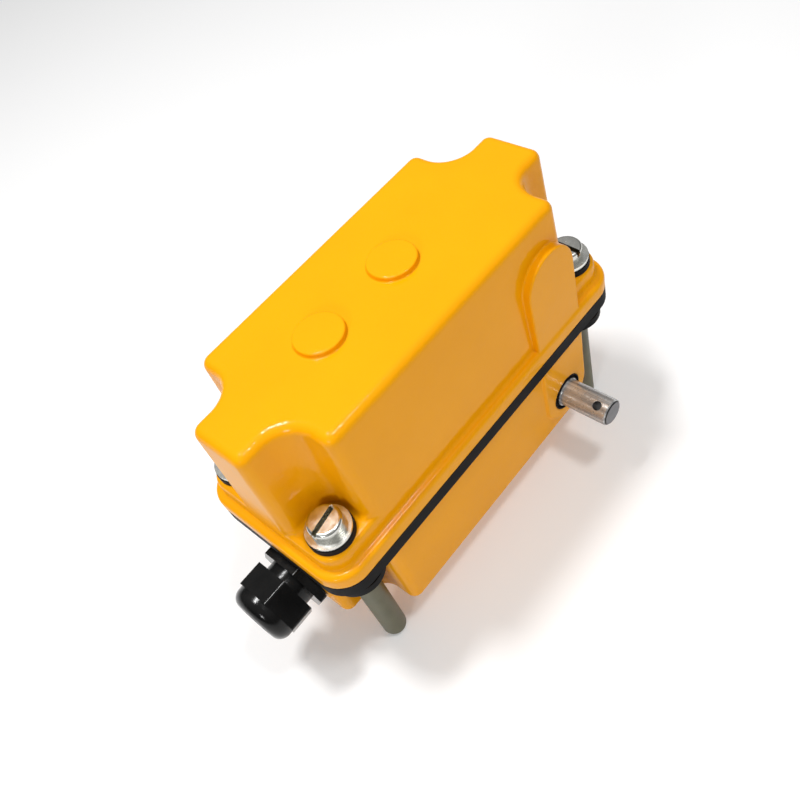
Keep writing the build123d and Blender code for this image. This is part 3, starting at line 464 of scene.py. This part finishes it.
def ground_steel():
    """The drive shaft: streaky bright sides, a grey sawn end, and painted shade that makes the
    cross hole's walls near black.
    """
    material, tree, shader, vector = new_material("ground_steel")
    marks = place_group(tree, tool_marks, vector, Stretch=(5.0, 0.05, 5.0), Mark_Size=160.0)
    streaks = ramp(tree, marks.outputs["Height"], 0.35, 0.6)
    sides = mix_colours(tree, streaks, (0.26, 0.26, 0.27), (0.66, 0.66, 0.65))
    split = tree.nodes.new("ShaderNodeSeparateXYZ")
    tree.links.new(vector, split.inputs["Vector"])
    along = split.outputs["Y"]
    sawn_end = ramp(tree, along, sawn_face * MM, sawn_face_edge * MM, 1.0, 0.0)
    origin = nodes["input_shaft"].matrix_world.translation
    middle = (abs(shaft_x * MM - origin.x), 0, abs(shaft_height * MM - origin.z))
    reach = shaft_core * MM
    core = place_group(tree, near_axis, vector, Centre=middle, Across=(1, 0, 1), Radius=reach)
    # Painted shade: the cross hole's steel walls are coloured near black, lose their metal shine
    # and are made rougher, in place of the shade inside the hole
    hole_shade = arithmetic(tree, "SUBTRACT", core.outputs["Mask"], sawn_end)
    sides = mix_colours(tree, hole_shade, sides, (0.004, 0.004, 0.004))
    colour = mix_colours(tree, sawn_end, sides, (0.20, 0.20, 0.21))
    tree.links.new(colour, shader.inputs["Base Color"])
    solid = arithmetic(tree, "SUBTRACT", 0.5, arithmetic(tree, "MULTIPLY", hole_shade, 0.5))
    tree.links.new(solid, shader.inputs["Metallic"])
    rough = ramp(tree, marks.outputs["Wear"], 0.0, 1.0, 0.24, 0.34)
    dull = arithmetic(tree, "ADD", sawn_end, hole_shade)
    rougher = arithmetic(tree, "ADD", rough, arithmetic(tree, "MULTIPLY", dull, 0.25))
    tree.links.new(rougher, shader.inputs["Roughness"])
    raise_surface(tree, shader, marks.outputs["Height"], 0.04 * MM, 0.5)
    return material


plastics = {
    "cap_olive": ("olive_cap", (0.105, 0.100, 0.055), (0.135, 0.128, 0.075), 0.38),
    "wheel_nylon": ("natural_nylon", (0.70, 0.67, 0.57), (0.78, 0.75, 0.66), 0.4),
    "cam_nylon": ("red_nylon", (0.50, 0.03, 0.02), (0.60, 0.045, 0.03), 0.4),
    "switch_black": ("switch_phenolic", (0.02, 0.02, 0.02), (0.035, 0.034, 0.033), 0.35),
    "gland_nylon": ("gland_black_nylon", (0.003, 0.003, 0.003), (0.006, 0.006, 0.006), 0.14, 0.25),
}
metals = {
    "zinc_steel": ("bright_zinc", (0.62, 0.62, 0.58), (0.80, 0.80, 0.75), 0.18, bolts_high.z),
    "bronze": ("sintered_bronze", (0.42, 0.26, 0.12), (0.52, 0.34, 0.17), 0.42),
    "pinion_brass": ("turned_brass", (0.72, 0.50, 0.20), (0.80, 0.60, 0.28), 0.22),
}
finishes = {
    "cast_yellow": yellow_enamel(),
    "black_rubber": black_rubber(),
    "shaft_steel": ground_steel(),
}
for slot, finish in plastics.items():
    finishes[slot] = moulded(*finish)
for slot, finish in metals.items():
    finishes[slot] = plated_steel(*finish)


def smooth_over(mesh, angle):
    """Smooth shading over the mesh, apart from edges sharper than the angle in degrees."""
    mesh.polygons.foreach_set("use_smooth", [True] * len(mesh.polygons))
    mesh.set_sharp_from_angle(angle=math.radians(angle))


for row in frame["record"]["subparts"]:
    piece = nodes[row["node"]]
    smooth_over(piece.data, angle=32)
    piece.data.materials.clear()
    piece.data.materials.append(finishes[row["material_slot"]])


# Castings. Both halves are meshed from a distance field, in millimetres, because their many
# soft rounds run into one another as they do on a cast and enamelled part.


def round_join(first, second, radius):
    """Union of two distance fields with a concave round where they meet."""
    bite = np.hypot(np.maximum(radius - first, 0), np.maximum(radius - second, 0))
    return np.maximum(radius, np.minimum(first, second)) - bite


def round_cut(first, second, radius):
    """Overlap of two distance fields with a convex round on the edge between them."""
    bite = np.hypot(np.maximum(radius + first, 0), np.maximum(radius + second, 0))
    return np.minimum(-radius, np.maximum(first, second)) + bite


def corner_distance(over_x, over_y):
    """Distance to the corner of two straight sides, from how far a point is past each."""
    outside = np.hypot(np.maximum(over_x, 0), np.maximum(over_y, 0))
    return outside + np.minimum(np.maximum(over_x, over_y), 0)


def rounded_block(x, y, length, width, corner):
    """Distance to a rectangle with rounded corners, about the middle."""
    over_x = np.abs(x) - length / 2 + corner
    over_y = np.abs(y) - width / 2 + corner
    return corner_distance(over_x, over_y) - corner


def scalloped_block(x, y, length, width, pocket_radius):
    """Distance to a casting's outline: a rectangle with a round pocket about each screw."""
    block = np.maximum(np.abs(x) - length / 2, np.abs(y) - width / 2)
    pocket = corner_distance(screw_x - np.abs(x), screw_y - np.abs(y)) - pocket_radius
    return round_cut(block, -pocket, upright_round)


def screw_holes(x, y):
    """Distance to the four corner screws' clearance holes."""
    return np.hypot(np.abs(x) - screw_x, np.abs(y) - screw_y) - screw_hole_radius


def cover_field(x, y, z):
    """The upper cover: flange, stepped pad, scalloped body, arch over the shaft and two bosses."""
    length, width = flange_length - 2 * ledge, flange_width - 2 * ledge
    shrink = (z - ledge_level) * draft
    flange = rounded_block(x, y, flange_length, flange_width, flange_corner)
    flange = round_cut(flange, z - ledge_level, flange_round)
    pad_side = rounded_block(x, y, length, width, flange_corner - ledge) + shrink
    pad = round_cut(pad_side, z - pad_level, pad_round)
    body_side = scalloped_block(x, y, length, width, cover_pocket) + shrink
    body = round_cut(body_side, z - top_level, top_round)
    foot = round_join(np.maximum(pad_side + pad_fillet, z - pad_level), body, pad_fillet)
    cover = round_join(flange, np.minimum(pad, foot), ledge_fillet)
    arch = np.hypot(x - shaft_x, np.maximum(z - cover_base - arch_rise, 0)) - arch_radius
    arch = np.maximum(round_cut(arch, -y - arch_face, arch_round), y + arch_face - 2 * ledge)
    cover = round_join(cover, np.maximum(arch, ledge_level - overlap - z), arch_fillet)
    for place in boss_places:
        side = np.hypot(x - place, y) - boss_radius + (z - top_level) * boss_draft
        boss = round_cut(side, z - top_level - boss_rise, boss_round)
        cover = round_join(cover, np.maximum(boss, top_level - boss_root - z), boss_fillet)
    cavity = round_cut(body_side + wall, z - top_level + roof, cavity_round)
    cover = round_cut(np.maximum(cover, -cavity), cover_base - z, rim_round)
    return np.maximum(cover, -screw_holes(x, y))


def casing_field(x, y, z):
    """The lower casing: scalloped body, lugs, arch, gland pad, bush housings and foot pads."""
    length, width = flange_length - 2 * gasket_lip, flange_width - 2 * gasket_lip
    shrink = (casing_height - z) * draft
    body_side = scalloped_block(x, y, length, width, casing_pocket) + shrink
    body = round_cut(body_side, -z, base_round)
    lug_side = rounded_block(x, y, length, width, flange_corner - gasket_lip) + shrink
    lug = round_cut(lug_side, lug_level - z, lug_round)
    foot = round_join(np.maximum(lug_side + lug_fillet, lug_level - z), body, lug_fillet)
    casing = np.minimum(lug, foot)
    from_shaft = np.hypot(x - shaft_x, z - shaft_height)
    arch = np.hypot(x - shaft_x, np.minimum(z - shaft_height, 0)) - arch_radius
    arch = round_cut(arch, -y - arch_face + (lip_level - z) * draft, arch_round)
    arch = np.maximum(arch, np.maximum(z - lip_level + arch_gap, y + arch_face - 2 * ledge))
    casing = round_join(casing, arch, arch_fillet)
    from_gland = np.hypot(y, z - gland_height)
    gland_pad = round_cut(from_gland - gland_pad_radius, -x - gland_seat, gland_pad_round)
    casing = round_join(casing, np.maximum(gland_pad, x + gland_seat - wall), gland_pad_fillet)
    casing = np.maximum(casing, -np.maximum(body_side + wall, casing_floor - z))
    in_wall = np.abs(y) - arch_face + wall
    front = np.maximum(from_shaft - front_radius - housing_wall, y - front_high.y)
    rear = np.maximum(from_shaft - rear_radius - housing_wall, rear_low.y - y)
    casing = np.minimum(casing, np.maximum(np.minimum(front, rear), in_wall))
    from_foot = np.hypot(np.abs(x - foot_x) - foot_reach, np.abs(y) - foot_y)
    from_foot = np.minimum(from_foot, np.hypot(x - earth_x, y - earth_y))
    foot_ends = np.maximum(z - foot_pad_height, overlap - z)
    casing = np.minimum(casing, np.maximum(from_foot - foot_pad_radius, foot_ends))
    casing = np.maximum(casing, -np.maximum(from_foot - foot_hole_radius, foot_hole_end - z))
    casing = np.maximum(casing, z - casing_height)
    casing = np.maximum(casing, -np.maximum(from_shaft - seal_radius, y - front_low.y))
    casing = np.maximum(casing, -np.maximum(from_shaft - front_radius, y - front_high.y - overlap))
    rear_ends = np.maximum(rear_low.y - overlap - y, y - rear_high.y)
    casing = np.maximum(casing, -np.maximum(from_shaft - rear_radius, rear_ends))
    gland_depth = x + gland_seat - gland_bore_depth
    casing = np.maximum(casing, -np.maximum(from_gland - gland_bore, gland_depth))
    return np.maximum(casing, -np.maximum(screw_holes(x, y), lug_level - overlap - z))


def crossings(values, cells):
    """Middle of the points where the field changes sign along each cell's twelve edges."""
    total, count = np.zeros((len(cells), 3)), np.zeros((len(cells), 1))
    for axis in range(3):
        step = np.eye(3, dtype=int)[axis]
        first_way, second_way = np.eye(3, dtype=int)[[(axis + 1) % 3, (axis + 2) % 3]]
        for corner in (0 * step, first_way, second_way, first_way + second_way):
            start = values[tuple((cells + corner).T)]
            end = values[tuple((cells + corner + step).T)]
            crossed = (start < 0) != (end < 0)
            share = np.where(crossed, start / np.where(crossed, start - end, 1), 0)
            total += np.where(crossed[:, None], corner + share[:, None] * step, 0)
            count += crossed[:, None]
    return total / count


def skin(field, low, high, cell):
    """Points and four-sided faces of the surface where a distance field is zero."""
    lines = [np.arange(low[i], high[i] + cell, cell) for i in range(3)]
    values = field(lines[0][:, None, None], lines[1][None, :, None], lines[2][None, None, :])
    inside = values < 0
    size = [n - 1 for n in inside.shape]
    count = np.zeros(size, dtype=np.int8)
    for i, j, k in np.ndindex(2, 2, 2):
        count += inside[i:i + size[0], j:j + size[1], k:k + size[2]]
    cells = np.argwhere((count > 0) & (count < 8))
    number = np.full(size, -1, dtype=np.int32)
    number[tuple(cells.T)] = np.arange(len(cells))
    points = np.array(low) + (cells + crossings(values, cells)) * cell
    faces = []
    for axis in range(3):
        before, after = [slice(1, -1)] * 3, [slice(1, -1)] * 3
        before[axis], after[axis] = slice(0, -1), slice(1, None)
        edges = np.argwhere(inside[tuple(before)] != inside[tuple(after)])
        edges += 1 - np.eye(3, dtype=int)[axis]
        first_way, second_way = np.eye(3, dtype=int)[[(axis + 1) % 3, (axis + 2) % 3]]
        ring = (-first_way - second_way, -second_way, 0 * first_way, -first_way)
        quads = np.stack([number[tuple((edges + corner).T)] for corner in ring], axis=1)
        inward = ~inside[tuple(edges.T)]
        quads[inward] = quads[inward][:, ::-1]
        faces.append(quads)
    return points, np.concatenate(faces)


def slope_of(field, points):
    """The way in which a distance field grows at each point."""
    slope = np.empty_like(points)
    for axis in range(3):
        step = slope_reach * np.eye(3)[axis]
        slope[:, axis] = field(*(points + step).T) - field(*(points - step).T)
    return slope / (2 * slope_reach)


def settle(field, points, rounds):
    """Moves points onto the surface along the field's slope."""
    for _ in range(rounds):
        slope = slope_of(field, points)
        steepness = np.maximum((slope * slope).sum(axis=1), least_steepness)
        move = np.clip(field(*points.T) / steepness, -longest_move, longest_move)
        points = points - move[:, None] * slope
    return points


def mesh_points(mesh):
    """A mesh's vertices as rows of three coordinates."""
    flat = np.empty(3 * len(mesh.vertices))
    mesh.vertices.foreach_get("co", flat)
    return flat.reshape(-1, 3)


def make_casting(name, field, low, high):
    """Meshes a field, thins its flat parts and shades it so that they stay flat."""
    points, faces = skin(field, low, high, casting_cell)
    mesh = bpy.data.meshes.new(name)
    points = settle(field, points, rounds=3)
    mesh.from_pydata((points * MM).tolist(), [], faces.tolist())
    piece = bpy.data.objects.new(name, mesh)
    bpy.context.scene.collection.objects.link(piece)
    thin = piece.modifiers.new("thin", "DECIMATE")
    thin.ratio = kept_share
    view = bpy.context.evaluated_depsgraph_get()
    thinned = bpy.data.meshes.new_from_object(piece.evaluated_get(view))
    piece.modifiers.clear()
    piece.data = thinned
    bpy.data.meshes.remove(mesh)
    thinned.name = name
    points = settle(field, mesh_points(thinned) / MM, rounds=1)
    thinned.vertices.foreach_set("co", (points * MM).ravel())
    thinned.polygons.foreach_set("use_smooth", [True] * len(thinned.polygons))
    thinned.update()
    piece.modifiers.new("even", "WEIGHTED_NORMAL").weight = flat_face_weight
    return piece


def room_about(node):
    """A CAD node's box in millimetres, with room to spare on every side."""
    spare = 2.0
    low, high = in_mm(node)
    return [value - spare for value in low], [value + spare for value in high]


for node, field in (("upper_cover", cover_field), ("lower_casing", casing_field)):
    piece = make_casting("cast_" + node, field, *room_about(node))
    piece.data.materials.append(finishes["cast_yellow"])
    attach(piece, "root")
    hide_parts(node)


def lay_floor(level):
    """A wide pale floor under the caps that the switch stands on."""
    material, tree, shader, vector = new_material("pale_floor")
    speckle = noise(tree, 3.0, 2.0, 0.5, vector)
    colour = mix_colours(tree, speckle.outputs["Fac"], (0.80, 0.80, 0.80), (0.82, 0.82, 0.82))
    tree.links.new(colour, shader.inputs["Base Color"])
    shader.inputs["Roughness"].default_value = 0.9
    shader.inputs["Emission Color"].default_value = (1, 1, 1, 1)
    shader.inputs["Emission Strength"].default_value = 0.16
    mesh = bpy.data.meshes.new("floor")
    reach = 4.0
    sides = ((-1, -1), (1, -1), (1, 1), (-1, 1))
    corners = [(side_x * reach, side_y * reach, level) for side_x, side_y in sides]
    mesh.from_pydata(corners, [], [(0, 1, 2, 3)])
    mesh.materials.append(material)
    floor = bpy.data.objects.new("floor", mesh)
    bpy.context.scene.collection.objects.link(floor)


def hang_light(name, place, target, width, height, power):
    """A white rectangular softbox aimed at a point; sizes in metres, power in watts."""
    data = bpy.data.lights.new(name, "AREA")
    data.shape = "RECTANGLE"
    data.size, data.size_y = width, height
    data.energy = power
    lamp = bpy.data.objects.new(name, data)
    lamp.location = place
    lamp.rotation_mode = "QUATERNION"
    lamp.rotation_quaternion = (Vector(target) - Vector(place)).to_track_quat("-Z", "Y")
    bpy.context.scene.collection.objects.link(lamp)


lay_floor(cad_low.z)
upper_middle, middle = (0, 0, 0.08), (0, 0, 0.06)
hang_light("top_softbox", (-0.1, 0.25, 1.0), upper_middle, width=0.18, height=0.14, power=6.3)
hang_light("edge_softbox", (0.15, -0.3, 1.0), upper_middle, width=0.13, height=0.13, power=2.8)
hang_light("left_softbox", (-0.85, -0.36, 0.46), middle, width=0.16, height=0.16, power=2.0)


def light_the_room(low, high):
    """A white room whose light grows from the horizon up to the height where it is full."""
    full_height = 0.8
    world = bpy.data.worlds.new("studio")
    world.use_nodes = True
    tree = world.node_tree
    direction = tree.nodes.new("ShaderNodeTexCoord")
    split = tree.nodes.new("ShaderNodeSeparateXYZ")
    tree.links.new(direction.outputs["Generated"], split.inputs["Vector"])
    background = tree.nodes["Background"]
    background.inputs["Color"].default_value = (1, 1, 1, 1)
    strength = ramp(tree, split.outputs["Z"], 0.0, full_height, low, high)
    tree.links.new(strength, background.inputs["Strength"])
    bpy.context.scene.world = world


light_the_room(low=0.04, high=0.46)
bpy.context.scene.view_settings.view_transform = "Standard"

camera_data = bpy.data.cameras.new("camera")
camera_data.sensor_width = sensor_width
camera_data.lens = sensor_width * focal_length / picture_width
camera = bpy.data.objects.new("camera", camera_data)
camera.location = (-0.113583, -0.174372, 0.303846)
camera.rotation_mode = "QUATERNION"
camera.rotation_quaternion = Quaternion((0.8397222, 0.3343915, -0.0211547, -0.4273188))
camera_data.clip_start = 0.01
camera_data.clip_end = 20.0
bpy.context.scene.collection.objects.link(camera)
bpy.context.scene.camera = camera
